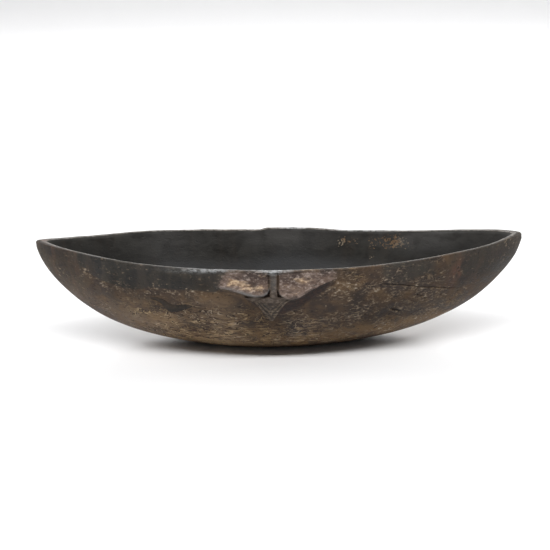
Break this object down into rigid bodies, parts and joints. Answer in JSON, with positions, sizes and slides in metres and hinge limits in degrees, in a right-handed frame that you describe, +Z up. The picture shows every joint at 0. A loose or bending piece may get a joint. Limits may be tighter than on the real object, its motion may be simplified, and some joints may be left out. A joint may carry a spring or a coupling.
{
  "type": "carved wooden bowl",
  "caption": "Long boat-shaped bowl hewn from a log, with pointed rising ends, a worn flat to rest on, and a carved lobed grip with a beak on each long side.",
  "frame": {"origin": "centre of the worn flat that the bowl rests on, below the middle of the bowl", "axes": "+X along the length from one pointed end to the other, +Y across the bowl from the front flank to the back flank, +Z up"},
  "size_m": [0.6998, 0.2504, 0.1554],
  "materials": {
    "aged_wood": "hewn, smoke-darkened and handled to a low sheen, with the dark coat worn off the belly",
    "dark_putty": "hardened dark nut putty, smooth, low sheen"
  },
  "bodies": {
    "root": {"bowl_body": "aged_wood", "check_putty": "dark_putty"}
  },
  "joints": []
}
